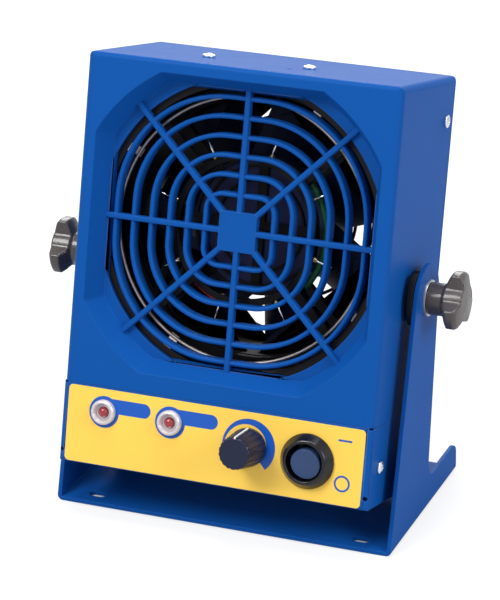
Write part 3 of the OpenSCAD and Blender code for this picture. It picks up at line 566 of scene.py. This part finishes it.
def dress(node, width, segments=2, finish=None):
    """A node's own form with merged faces, rounded edges and smooth shading."""
    source = frame["nodes"][node]
    piece = bpy.data.objects.new(node + "_piece", source.data.copy())
    bpy.context.scene.collection.objects.link(piece)
    soften(piece, width * MM, segments)
    return place(piece, source["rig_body"], node, finish=finish)


def paint(*nodes):
    """Gives CAD nodes that keep their form their finish."""
    for node in nodes:
        materials = frame["nodes"][node].data.materials
        materials.clear()
        materials.append(finish_for(SLOT_OF[node]))


def lathe(name, rings, steps=64):
    """A turned form: a circle extruded from ring to ring, each (radius, height) in
    millimetres. An open end at either ring becomes a pole."""
    clear_selection()
    (r0, z0), rest = rings[0], rings[1:]
    bpy.ops.mesh.primitive_circle_add(vertices=steps, radius=r0 * MM, location=(0, 0, z0 * MM))
    piece = named(name)
    closed = rings[-1] == rings[0]
    pick(piece, "EDGE", lambda at, run: True)
    radius, height = r0, z0
    for r, z in rest:
        bpy.ops.mesh.extrude_region_move(
            TRANSFORM_OT_translate={"value": (0, 0, (z - height) * MM)})
        bpy.ops.transform.resize(value=(r / radius, r / radius, 1),
                                 center_override=(0, 0, z * MM))
        radius, height = r, z
    leave()
    if not closed:
        for r, z in (rings[0], rings[-1]):
            pick(piece, "VERT", lambda at, normal: abs(at.z - z * MM) < 1e-6
                 and abs(math.hypot(at.x, at.y) - r * MM) < 1e-6)
            bpy.ops.mesh.edge_face_add()
            bpy.ops.mesh.poke()
            leave()
    take(piece)
    bpy.ops.object.mode_set(mode="EDIT")
    bpy.ops.mesh.select_all(action="SELECT")
    bpy.ops.mesh.remove_doubles(threshold=1e-6)
    bpy.ops.mesh.normals_make_consistent(inside=False)
    leave()
    take(piece)
    bpy.ops.object.shade_smooth_by_angle(angle=math.radians(38))
    return piece


def on_panel(x, z, tilt=0.0, depth=0.0):
    """The place of a fitting on the control panel, in millimetres: its own z points out."""
    return (Matrix.Translation((x * MM, 0, z * MM)) @ Matrix.Rotation(math.pi / 2, 4, "X")
            @ Matrix.Translation((0, 0, depth * MM)) @ Matrix.Rotation(tilt, 4, "X"))


def settle(piece, matrix):
    """Moves a finished form to its place and takes the place into its mesh."""
    take(piece)
    piece.matrix_world = matrix @ piece.matrix_world
    bpy.ops.object.transform_apply(location=True, rotation=True, scale=True)
    return piece


# ------------------------------------------------------------------ pieces

def funnel(name, sizes, grow, y0, y1):
    """The tapered recess: a cone trimmed to sloped flats by four cuts."""
    def reach(size, y):
        return size + grow - sizes.recess_slope * y
    piece = drum(name, reach(sizes.recess_r, y0), reach(sizes.recess_r, y1), y0, y1,
                 (0, sizes.fan_h))
    for across, up in ((1, 0), (-1, 0), (0, 1), (0, -1)):
        h = reach(sizes.recess_half, y0)
        pick(piece, "FACE", lambda at, normal: True)
        bpy.ops.mesh.bisect(plane_co=(across * h, y0, sizes.fan_h + up * h),
                            plane_no=(across, sizes.recess_slope, up),
                            use_fill=True, clear_outer=True)
        leave()
    return piece


def cover_body(sizes, back):
    """The closed outer form of the covers: three blocks with rounded edges, in common."""
    half, top = sizes.head_w / MM / 2, sizes.head_h / MM
    plan = block("plan", (-half, 0, 0), (half, back, top))
    round_edges(plan, 4 * MM, 6, lambda at, run: abs(run.z) > 0.9 and at.y < 1 * MM)
    front = block("front", (-half, -5, -5), (half, back + 5, top))
    round_edges(front, 3.5 * MM, 6, lambda at, run: abs(run.y) > 0.9 and at.z > 100 * MM)
    side = block("side", (-half - 5, 0, -5), (half + 5, back + 5, top))
    round_edges(side, 2.5 * MM, 6,
                lambda at, run: abs(run.x) > 0.9 and at.z > 100 * MM and at.y < 1 * MM)
    return combine(combine(plan, front, "INTERSECT"), side, "INTERSECT")


def hole(piece, name, at, axis, r):
    """Drills a round hole through a wall, in millimetres."""
    clear_selection()
    turn = {"x": (0, math.pi / 2, 0), "y": (math.pi / 2, 0, 0), "z": (0, 0, 0)}[axis]
    bpy.ops.mesh.primitive_cylinder_add(vertices=32, radius=r * MM, depth=DRILL_DEPTH * MM,
                                        location=Vector(at) * MM, rotation=turn)
    return combine(piece, named(name), "DIFFERENCE")


class BLOWER_OT_front_cover(bpy.types.Operator):
    """Moulds the front cover: a rounded shell with its tapered recess and air opening"""
    bl_idname = "blower.front_cover"
    bl_label = "Front cover"

    def execute(self, context):
        s = context.scene.blower_sizes
        half, top, wall, back = s.head_w / MM / 2, s.head_h / MM, s.wall / MM, s.cover_d / MM
        floor_back = s.recess_depth + 2.5 * MM
        shell = cover_body(s, back)
        hollow = block("hollow", (wall - half, wall, -1), (half - wall, back + 5, top - wall))
        combine(shell, hollow, "DIFFERENCE")
        combine(shell, funnel("rim", s, 2.2 * MM, wall / 2 * MM, floor_back), "UNION")
        combine(shell, funnel("recess", s, 0, -1 * MM, s.recess_depth), "DIFFERENCE")
        throat = drum("throat", s.opening_r, s.opening_r, s.recess_depth - 1 * MM,
                      floor_back + 1 * MM, (0, s.fan_h))
        combine(throat, funnel("trim", s, 0, s.recess_depth - 1.2 * MM, floor_back + 0.6 * MM),
                "INTERSECT")
        combine(shell, throat, "DIFFERENCE")
        notch = block("notch", (-half - 1, -1, -1), (half + 1, PANEL_BACK, PANEL_UP))
        combine(shell, notch, "DIFFERENCE")
        for side in (-1, 1):
            hole(shell, "pivot", (side * half, PIVOT_BACK, PIVOT_UP), "x", 3)
        for x in TOP_SCREWS_ACROSS:
            hole(shell, "screw", (x, TOP_SCREWS_BACK, top), "z", 1.7)
        hole(shell, "trimmer", (TRIMMER_ACROSS, TRIMMER_BACK, top), "z", 1.3)
        shell.name = shell.data.name = "front_cover_shell"
        soften(shell, s.edge)
        place(shell, "head", "front_cover", lean=True)
        return {"FINISHED"}


class BLOWER_OT_outlet_grille(bpy.types.Operator):
    """Moulds the outlet grille: rounded square rings, eight spokes and a plain square"""
    bl_idname = "blower.outlet_grille"
    bl_label = "Outlet grille"

    def execute(self, context):
        s = context.scene.blower_sizes
        ring_face, spoke_face, spoke_back, spokes = 9.5, 8.8, 12.3, 8
        parts = []
        for index in range(s.ring_count):
            reach = s.ring_first + index * s.ring_pitch + s.ring_w / 2
            clear_selection()
            bpy.ops.mesh.primitive_plane_add(size=2 * reach)
            ring = named("ring")
            pick(ring, "VERT", lambda at, normal: True)
            bpy.ops.mesh.bevel(offset=reach - s.ring_square, segments=16, affect="VERTICES")
            bpy.ops.mesh.select_mode(type="FACE")
            bpy.ops.mesh.select_all(action="SELECT")
            bpy.ops.mesh.inset(thickness=s.ring_w, use_even_offset=True)
            bpy.ops.mesh.delete(type="FACE")
            bpy.ops.mesh.select_all(action="SELECT")
            bpy.ops.mesh.extrude_region_move(
                TRANSFORM_OT_translate={"value": (0, 0, s.ring_d)})
            bpy.ops.mesh.select_all(action="SELECT")
            bpy.ops.mesh.normals_make_consistent(inside=False)
            leave()
            round_edges(ring, s.ring_w * 0.47, 5, lambda at, run: at.z > s.ring_d * 0.98
                        and ring_edge(at, run))
            ring.matrix_world = (Matrix.Translation((0, ring_face * MM + s.ring_d, s.fan_h))
                                 @ Matrix.Rotation(math.pi / 2, 4, "X"))
            parts.append(ring)
        for index in range(spokes):
            turn = index * math.pi / 4
            far = s.recess_half if index % 2 == 0 else s.recess_r
            far = far - s.recess_slope * 9 * MM + 0.8 * MM
            half = s.spoke_w / MM / 2
            spoke = block("spoke", (5, spoke_face, -half), (far / MM, spoke_back, half))
            round_edges(spoke, 0.55 * MM, 3, lambda at, run: abs(run.x) > 0.9 and at.y < 9 * MM)
            spoke.matrix_world = (Matrix.Translation((0, 0, s.fan_h))
                                  @ Matrix.Rotation(turn, 4, "Y"))
            parts.append(spoke)
        side = s.grille_hub / MM / 2
        plate = block("plate", (-side, 8.4, -side), (side, 12.9, side))
        pick(plate, "FACE", lambda at, normal: normal.y < -0.9)
        bpy.ops.mesh.inset(thickness=1.5 * MM)
        bpy.ops.transform.translate(value=(0, 0.35 * MM, 0))
        leave()
        plate.matrix_world = Matrix.Translation((0, 0, s.fan_h))
        soften(plate, 0.45 * MM, 3)
        parts.append(plate)
        for part in parts:
            take(part)
            bpy.ops.object.transform_apply(location=True, rotation=True, scale=True)
        grille = join("outlet_grille", parts)
        take(grille)
        bpy.ops.object.shade_smooth_by_angle(angle=math.radians(40))
        place(grille, "head", "front_cover", lean=True)
        return {"FINISHED"}


def ring_edge(at, run):
    """True on the long edges of a ring's front face, and not on those across it."""
    out = Vector((at.x, at.y, 0))
    if out.length < 1e-9:
        return False
    return abs(run.x * out.x + run.y * out.y) / out.length < 0.75


class BLOWER_OT_stand(bpy.types.Operator):
    """Folds the stand, with eased sheet edges"""
    bl_idname = "blower.stand"
    bl_label = "Stand"

    def execute(self, context):
        dress("stand", 0.3, 3)
        return {"FINISHED"}


class BLOWER_OT_rear_cover(bpy.types.Operator):
    """Moulds the rear cover"""
    bl_idname = "blower.rear_cover"
    bl_label = "Rear cover"

    def execute(self, context):
        dress("rear_cover", 0.3)
        return {"FINISHED"}


class BLOWER_OT_control_panel(bpy.types.Operator):
    """Folds the control panel and lays its printed overlay on it"""
    bl_idname = "blower.control_panel"
    bl_label = "Control panel"

    def execute(self, context):
        dress("control_panel", 0.3)
        dress("panel_overlay", 0.08)
        return {"FINISHED"}


class BLOWER_OT_lamps(bpy.types.Operator):
    """Makes the warning lamps with their bezels and nuts"""
    bl_idname = "blower.lamps"
    bl_label = "Warning lamps"

    def execute(self, context):
        bezels, lenses = [], []
        for x in LAMPS_ACROSS:
            ring, lens = lathe("bezel", BEZEL_RINGS), lathe("lens", LENS_RINGS, 48)
            bezels.append(settle(ring, on_panel(x, LAMPS_UP)))
            lenses.append(settle(lens, on_panel(x, LAMPS_UP)))
        place(join("lamp_bezels_piece", bezels), "head", "lamp_bezels", lean=True,
              finish="satin_plate")
        place(join("warning_lamps_piece", lenses), "head", "warning_lamps", lean=True)
        paint("lamp_nuts")
        return {"FINISHED"}


class BLOWER_OT_flow_knob(bpy.types.Operator):
    """Makes the flow knob with its flutes, pointer, shaft and nut"""
    bl_idname = "blower.flow_knob"
    bl_label = "Flow knob"

    def execute(self, context):
        dress("flow_knob", 0.15)
        line = dress("knob_pointer", 0)
        pick(line, "VERT", lambda at, normal: True)
        bpy.ops.transform.resize(value=(0.6, 1, 1), center_override=(KNOB_ACROSS * MM, 0, 0))
        leave()
        dress("pot_nut", 0.15)
        paint("pot_shaft", "potentiometer")
        return {"FINISHED"}


class BLOWER_OT_power_switch(bpy.types.Operator):
    """Makes the power switch with its rocker"""
    bl_idname = "blower.power_switch"
    bl_label = "Power switch"

    def execute(self, context):
        dress("switch_housing", 0.25, 3, "bezel_black")
        body = lathe("rocker_piece", ROCKER_RINGS)
        clear_selection()
        bpy.ops.mesh.primitive_cylinder_add(vertices=24, radius=ROCKER_PIN_R * MM,
                                            depth=ROCKER_PIN_LENGTH * MM,
                                            rotation=(0, math.pi / 2, 0))
        combine(body, named("pin"), "UNION")
        settle(body, on_panel(SWITCH_ACROSS, SWITCH_UP, ROCKER_SWING, ROCKER_SEAT))
        place(body, "rocker", "rocker", lean=True)
        paint("switch_terminals")
        return {"FINISHED"}


class BLOWER_OT_ionizer(bpy.types.Operator):
    """Makes the emitter carrier, needles, earthed ring and leads"""
    bl_idname = "blower.ionizer"
    bl_label = "Ionizer"

    def execute(self, context):
        dress("emitter_carrier", 0.25)
        for node in ("emitter_needles", "needle_sockets", "high_voltage_lead", "sensing_lead"):
            dress(node, 0)
        dress("earth_ring", 0, finish="dull_plate")
        dress("earth_clips", 0, finish="dull_plate")
        return {"FINISHED"}


class BLOWER_OT_fan(bpy.types.Operator):
    """Makes the fan with its motor"""
    bl_idname = "blower.fan"
    bl_label = "Fan"

    def execute(self, context):
        dress("fan_frame", 0.3)
        dress("motor_plate", 0.3)
        dress("fan_rotor", 0.2, finish="rotor_navy")
        paint("fan_stator", "fan_coils", "fan_bearings", "fan_driver_board", "fan_magnet",
              "fan_shaft")
        return {"FINISHED"}


class BLOWER_OT_rear_fittings(bpy.types.Operator):
    """Makes the finger guard, the mains inlet and the fuse"""
    bl_idname = "blower.rear_fittings"
    bl_label = "Rear fittings"

    def execute(self, context):
        dress("rear_guard", 0)
        dress("mains_inlet", 0.35)
        dress("inlet_pins", 0.25)
        dress("fuse_holder", 0.2)
        dress("fuse_cap", 0.3)
        return {"FINISHED"}


class BLOWER_OT_electronics(bpy.types.Operator):
    """Finishes the boards, the module, the transformer and the chassis"""
    bl_idname = "blower.electronics"
    bl_label = "Electronics"

    def execute(self, context):
        dress("high_voltage_module", 0.8, 3)
        dress("transformer_core", 0.2)
        dress("transformer_windings", 0.8, 3)
        dress("capacitors", 0.5, 3)
        dress("chassis", 0.2)
        paint("balance_board", "board_spacers", "trimmer_body", "trimmer_rotor", "main_board",
              "board_standoffs")
        return {"FINISHED"}


class BLOWER_OT_fasteners(bpy.types.Operator):
    """Makes the screws and nuts"""
    bl_idname = "blower.fasteners"
    bl_label = "Fasteners"

    def execute(self, context):
        for node in ("top_screws", "side_screws", "panel_screws", "fan_screws", "carrier_screws"):
            dress(node, 0.12)
        paint("fan_nuts", "pivot_nuts")
        return {"FINISHED"}


class BLOWER_OT_tilt_clamps(bpy.types.Operator):
    """Casts the clamp knobs, with their washers and spacers"""
    bl_idname = "blower.tilt_clamps"
    bl_label = "Tilt clamps"

    def execute(self, context):
        dress("clamp_knob_right", 0.7, 3)
        dress("clamp_knob_left", 0.7, 3)
        dress("clamp_washer_right", 0.15)
        dress("clamp_washer_left", 0.15)
        dress("tilt_spacers", 0.3)
        return {"FINISHED"}


def make_floor(tone):
    """A pale floor that the camera sees as white and the object as grey."""
    clear_selection()
    bpy.ops.mesh.primitive_circle_add(vertices=96, radius=2.4, fill_type="NGON",
                                      location=(0, 0, -0.0002))
    floor = named("studio_floor")
    pick(floor, "FACE", lambda at, normal: True)
    bpy.ops.mesh.inset(thickness=1.2)
    leave()
    made = Finish("studio floor", Roughness=0.85)
    cloud = made.noise(300, 2)
    rays = made.node("ShaderNodeLightPath", {}, {}, "Is Camera Ray")
    made.feed(Base_Color=made.between(rays, made.between(cloud, shade(tone, 0.98), tone),
                                      (0.95, 0.95, 0.95)))
    # The floor does not glow under the base plate, where only the slots show it.
    spot = made.node("ShaderNodeSeparateXYZ", {}, {"Vector": made.place}).socket.node.outputs
    under = (abs(Value(made, spot["X"])).within(0.074, 0.002)
             * abs(Value(made, spot["Y"])).within(0.044, 0.002))
    glow = made.node("ShaderNodeEmission", {}, {"Color": (1, 1, 1, 1), "Strength": 1.06})
    mixed = made.node("ShaderNodeMixShader", {},
                      {0: rays * 0.7 * (1 - under), 1: made.surface, 2: glow})
    output = next(n for n in made.tree.nodes if n.type == "OUTPUT_MATERIAL")
    made.tree.links.new(mixed.socket, output.inputs["Surface"])
    floor.data.materials.append(made.material)


def make_world(scene):
    """A sky that is white to the camera, softer in reflections and grey as a light."""
    sky_level, gloss_share = 0.36, 0.6
    world = bpy.data.worlds.new("studio")
    world.use_nodes = True
    scene.world = world
    tree = world.node_tree
    tree.nodes.clear()
    path = tree.nodes.new("ShaderNodeLightPath")
    seen = tree.nodes.new("ShaderNodeMath")
    seen.operation = "MAXIMUM"
    tree.links.new(path.outputs["Is Camera Ray"], seen.inputs[0])
    tree.links.new(path.outputs["Is Transmission Ray"], seen.inputs[1])
    shown = tree.nodes.new("ShaderNodeMath")
    shown.operation = "MULTIPLY_ADD"
    tree.links.new(path.outputs["Is Glossy Ray"], shown.inputs[0])
    shown.inputs[1].default_value = gloss_share
    tree.links.new(seen.outputs[0], shown.inputs[2])
    level = tree.nodes.new("ShaderNodeMapRange")
    level.inputs["To Min"].default_value = sky_level
    level.inputs["To Max"].default_value = 1.0
    tree.links.new(shown.outputs[0], level.inputs["Value"])
    sky = tree.nodes.new("ShaderNodeBackground")
    sky.inputs["Color"].default_value = (1, 1, 1, 1)
    tree.links.new(level.outputs[0], sky.inputs["Strength"])
    out = tree.nodes.new("ShaderNodeOutputWorld")
    tree.links.new(sky.outputs[0], out.inputs["Surface"])


# Name, place in metres, side in metres and power in watts.
STUDIO_LAMPS = (("key", (-0.75, -1.15, 1.5), 0.7, 22),
                ("top", (0.1, 0.0, 1.7), 0.8, 12),
                ("fill", (1.5, -0.45, 0.9), 0.8, 13),
                ("back", (-0.5, 1.4, 0.9), 1.0, 13))


def make_lamps(scene):
    """Soft lamps around the object, each aimed at its middle."""
    for name, at, size, power in STUDIO_LAMPS:
        lamp = bpy.data.lights.new(name, "AREA")
        lamp.size, lamp.energy = size, power
        holder = bpy.data.objects.new(name, lamp)
        scene.collection.objects.link(holder)
        holder.location = at
        aim = Vector((0, 0, 0.1)) - Vector(at)
        holder.rotation_euler = aim.to_track_quat("-Z", "Y").to_euler()


def make_camera(scene):
    """A long lens from the right, in front and above."""
    camera = bpy.data.cameras.new("camera")
    camera.lens, camera.sensor_width, camera.sensor_fit = 186.1, 36, "AUTO"
    camera.clip_start, camera.clip_end = 0.05, 20
    holder = bpy.data.objects.new("camera", camera)
    scene.collection.objects.link(holder)
    right = Vector((0.928, 0.3723, -0.0164)).normalized()
    ahead = Vector((-0.347, 0.8471, -0.4025)).normalized()
    up = right.cross(ahead).normalized()
    turn = Matrix((right, up, -ahead)).transposed().to_4x4()
    holder.matrix_world = Matrix.Translation((0.4736, -1.1623, 0.6433)) @ turn
    scene.camera = holder


class BLOWER_OT_stage(bpy.types.Operator):
    """Sets the floor, the lights and the camera"""
    bl_idname = "blower.stage"
    bl_label = "Studio"

    def execute(self, context):
        scene = context.scene
        make_floor(scene.blower_colours.floor)
        make_world(scene)
        make_lamps(scene)
        make_camera(scene)
        scene.view_settings.view_transform = "Standard"
        return {"FINISHED"}


STEPS = (
    BLOWER_OT_front_cover, BLOWER_OT_outlet_grille, BLOWER_OT_stand, BLOWER_OT_rear_cover,
    BLOWER_OT_control_panel, BLOWER_OT_lamps, BLOWER_OT_flow_knob, BLOWER_OT_power_switch,
    BLOWER_OT_ionizer, BLOWER_OT_fan, BLOWER_OT_rear_fittings, BLOWER_OT_electronics,
    BLOWER_OT_fasteners, BLOWER_OT_tilt_clamps, BLOWER_OT_stage,
)


class BLOWER_PT_panel(bpy.types.Panel):
    """Lists the blower's sizes, colours and making steps"""
    bl_idname = "BLOWER_PT_panel"
    bl_label = "Ionizing blower"
    bl_space_type = "VIEW_3D"
    bl_region_type = "UI"
    bl_category = "Blower"

    def draw(self, context):
        for group in (context.scene.blower_sizes, context.scene.blower_colours):
            box = self.layout.box()
            for name in group.__annotations__:
                box.prop(group, name)
        for step in STEPS:
            self.layout.operator(step.bl_idname)


CLASSES = (BlowerSizes, BlowerColours, *STEPS, BLOWER_PT_panel)


def register():
    for kind in CLASSES:
        bpy.utils.register_class(kind)
    bpy.types.Scene.blower_sizes = PointerProperty(type=BlowerSizes)
    bpy.types.Scene.blower_colours = PointerProperty(type=BlowerColours)


def unregister():
    del bpy.types.Scene.blower_colours
    del bpy.types.Scene.blower_sizes
    for kind in reversed(CLASSES):
        bpy.utils.unregister_class(kind)


def main():
    register()
    for step in STEPS:
        group, name = step.bl_idname.split(".")
        getattr(getattr(bpy.ops, group), name)()
    bpy.context.view_layer.update()


if __name__ == "__main__":
    main()
